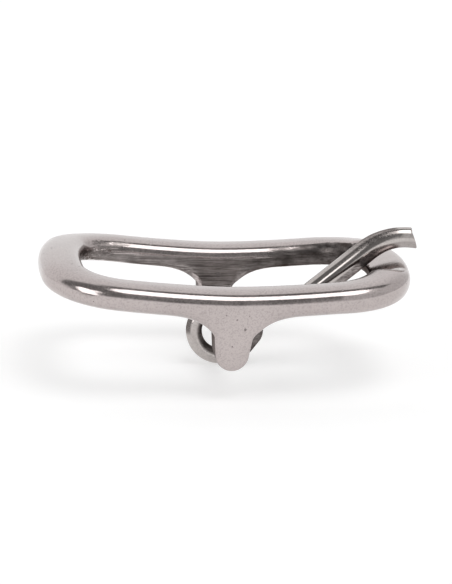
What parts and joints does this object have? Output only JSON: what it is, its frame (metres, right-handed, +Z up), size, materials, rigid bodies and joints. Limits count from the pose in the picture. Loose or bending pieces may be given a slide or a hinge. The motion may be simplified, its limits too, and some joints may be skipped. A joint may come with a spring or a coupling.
{
  "type": "centre-bar strap buckle",
  "caption": "Heavy polished strap buckle: a rounded oblong frame, lugs holding a dropped centre bar, and a curled tongue that swings on the bar.",
  "frame": {"origin": "the middle of the centre bar's axis", "axes": "+X along the buckle towards the front end bar, where the tongue rests; +Y along the centre bar; +Z up, out of the side the tongue's tip stands on"},
  "size_m": [0.0622, 0.0404, 0.0236],
  "materials": {
    "frame_steel": "polished cast stainless, fine pits",
    "bar_steel": "plain turned stainless",
    "tongue_steel": "mirror-polished stainless"
  },
  "bodies": {
    "frame": {"frame": "frame_steel", "centre_bar": "bar_steel"},
    "tongue": {"tongue": "tongue_steel"}
  },
  "joints": [
    {"name": "tongue_pivot", "type": "hinge", "parent": "frame", "child": "tongue", "pos_m": [0, 0, 0], "axis": [0, -1, 0], "range_deg": [0, 121]}
  ]
}
